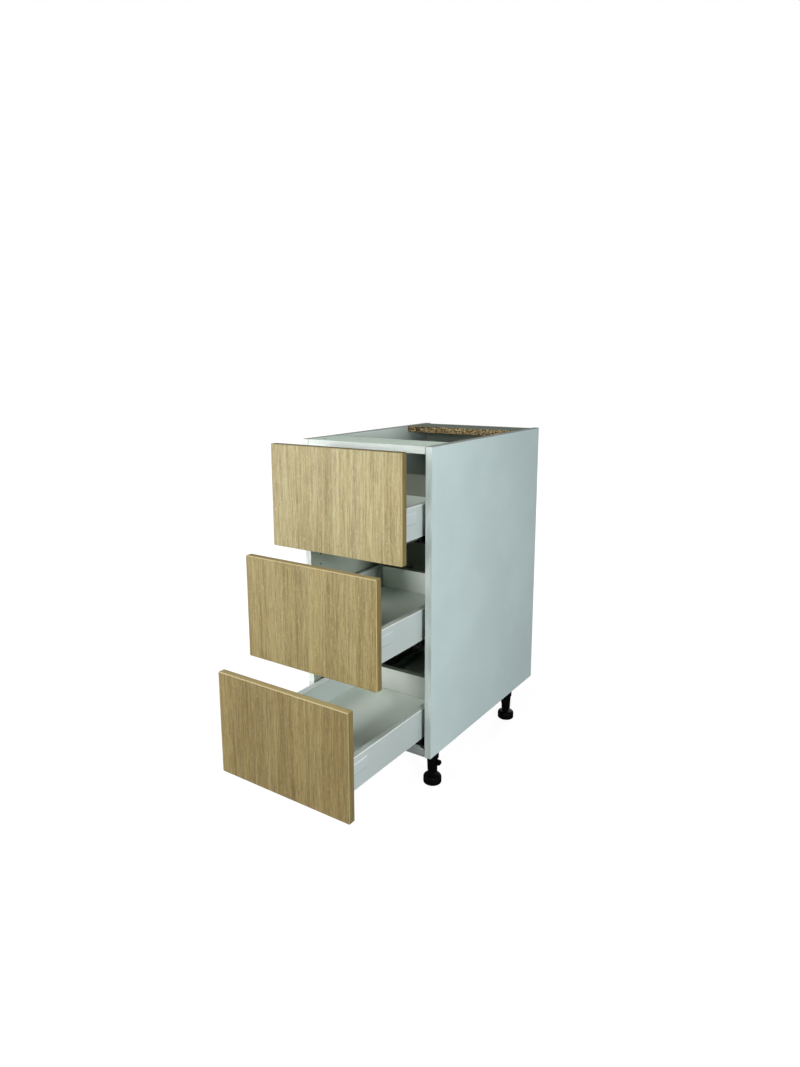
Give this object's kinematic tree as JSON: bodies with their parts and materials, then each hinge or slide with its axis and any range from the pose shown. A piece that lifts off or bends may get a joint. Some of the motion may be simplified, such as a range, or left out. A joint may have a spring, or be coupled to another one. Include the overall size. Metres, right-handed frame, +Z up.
{
  "type": "kitchen base cabinet with drawers",
  "caption": "Narrow white kitchen base cabinet on black adjustable legs, with handle-less oak-fronted steel-sided drawers on full-extension runners, standing part open.",
  "frame": {"origin": "on the floor, under the middle of the cabinet with its drawers part open", "axes": "+X to the right seen from the front, +Y from the front to the back, +Z up"},
  "size_m": [0.35, 0.845, 0.8],
  "materials": {
    "white_board": "white melamine, fine matt texture",
    "chipboard_rail": "melamine faces, raw chipboard front edge",
    "back_board": "grey-white lacquered hardboard",
    "oak_board": "light oak decor, vertical grain, matt",
    "white_steel": "white powder coat, satin",
    "white_plastic": "satin",
    "runner_steel": "dark coated steel",
    "bracket_steel": "zinc-plated",
    "black_plastic": "moulded, satin"
  },
  "bodies": {
    "carcass": {"side_left": "white_board", "side_right": "white_board", "bottom_panel": "white_board", "front_rail": "white_board", "rear_rail": "chipboard_rail", "back_panel": "back_board", "leg_front_left": "black_plastic", "leg_front_right": "black_plastic", "leg_rear_left": "black_plastic", "leg_rear_right": "black_plastic", "cabinet_runner_left_bottom": "runner_steel", "cabinet_runner_right_bottom": "runner_steel", "cabinet_runner_left_middle": "runner_steel", "cabinet_runner_right_middle": "runner_steel", "cabinet_runner_left_top": "runner_steel", "cabinet_runner_right_top": "runner_steel"},
    "drawer_bottom": {"front_bottom": "oak_board", "drawer_side_left_bottom": "white_steel", "drawer_runner_left_bottom": "runner_steel", "front_bracket_left_bottom": "bracket_steel", "side_cap_left_bottom": "white_plastic", "drawer_side_right_bottom": "white_steel", "drawer_runner_right_bottom": "runner_steel", "front_bracket_right_bottom": "bracket_steel", "side_cap_right_bottom": "white_plastic", "drawer_base_bottom": "white_board", "drawer_back_bottom": "white_board"},
    "middle_runners_bottom": {"middle_runner_left_bottom": "runner_steel", "middle_runner_right_bottom": "runner_steel"},
    "drawer_middle": {"front_middle": "oak_board", "drawer_side_left_middle": "white_steel", "drawer_runner_left_middle": "runner_steel", "front_bracket_left_middle": "bracket_steel", "side_cap_left_middle": "white_plastic", "drawer_side_right_middle": "white_steel", "drawer_runner_right_middle": "runner_steel", "front_bracket_right_middle": "bracket_steel", "side_cap_right_middle": "white_plastic", "drawer_base_middle": "white_board", "drawer_back_middle": "white_board"},
    "middle_runners_middle": {"middle_runner_left_middle": "runner_steel", "middle_runner_right_middle": "runner_steel"},
    "drawer_top": {"front_top": "oak_board", "drawer_side_left_top": "white_steel", "drawer_runner_left_top": "runner_steel", "front_bracket_left_top": "bracket_steel", "side_cap_left_top": "white_plastic", "drawer_side_right_top": "white_steel", "drawer_runner_right_top": "runner_steel", "front_bracket_right_top": "bracket_steel", "side_cap_right_top": "white_plastic", "drawer_base_top": "white_board", "drawer_back_top": "white_board"},
    "middle_runners_top": {"middle_runner_left_top": "runner_steel", "middle_runner_right_top": "runner_steel"},
    "foot_front_left": {"foot_front_left": "black_plastic"},
    "foot_front_right": {"foot_front_right": "black_plastic"},
    "foot_rear_left": {"foot_rear_left": "black_plastic"},
    "foot_rear_right": {"foot_rear_right": "black_plastic"}
  },
  "joints": [
    {"name": "drawer_bottom_slide", "type": "slide", "parent": "carcass", "child": "drawer_bottom", "axis": [0, -1, 0], "range_m": [-0.277, 0.173]},
    {"name": "middle_runners_bottom_slide", "type": "slide", "parent": "carcass", "child": "middle_runners_bottom", "axis": [0, -1, 0], "range_m": [-0.1385, 0.0865]},
    {"name": "drawer_middle_slide", "type": "slide", "parent": "carcass", "child": "drawer_middle", "axis": [0, -1, 0], "range_m": [-0.182, 0.268]},
    {"name": "middle_runners_middle_slide", "type": "slide", "parent": "carcass", "child": "middle_runners_middle", "axis": [0, -1, 0], "range_m": [-0.091, 0.134]},
    {"name": "drawer_top_slide", "type": "slide", "parent": "carcass", "child": "drawer_top", "axis": [0, -1, 0], "range_m": [-0.092, 0.358]},
    {"name": "middle_runners_top_slide", "type": "slide", "parent": "carcass", "child": "middle_runners_top", "axis": [0, -1, 0], "range_m": [-0.046, 0.179]},
    {"name": "foot_front_left_height", "type": "slide", "parent": "carcass", "child": "foot_front_left", "axis": [0, 0, -1], "range_m": [-0.004, 0.02]},
    {"name": "foot_front_right_height", "type": "slide", "parent": "carcass", "child": "foot_front_right", "axis": [0, 0, -1], "range_m": [-0.004, 0.02]},
    {"name": "foot_rear_left_height", "type": "slide", "parent": "carcass", "child": "foot_rear_left", "axis": [0, 0, -1], "range_m": [-0.004, 0.02]},
    {"name": "foot_rear_right_height", "type": "slide", "parent": "carcass", "child": "foot_rear_right", "axis": [0, 0, -1], "range_m": [-0.004, 0.02]}
  ],
  "couplings": [
    {"joint": "middle_runners_bottom_slide", "follows": "drawer_bottom_slide", "ratio": 0.5},
    {"joint": "middle_runners_middle_slide", "follows": "drawer_middle_slide", "ratio": 0.5},
    {"joint": "middle_runners_top_slide", "follows": "drawer_top_slide", "ratio": 0.5}
  ]
}
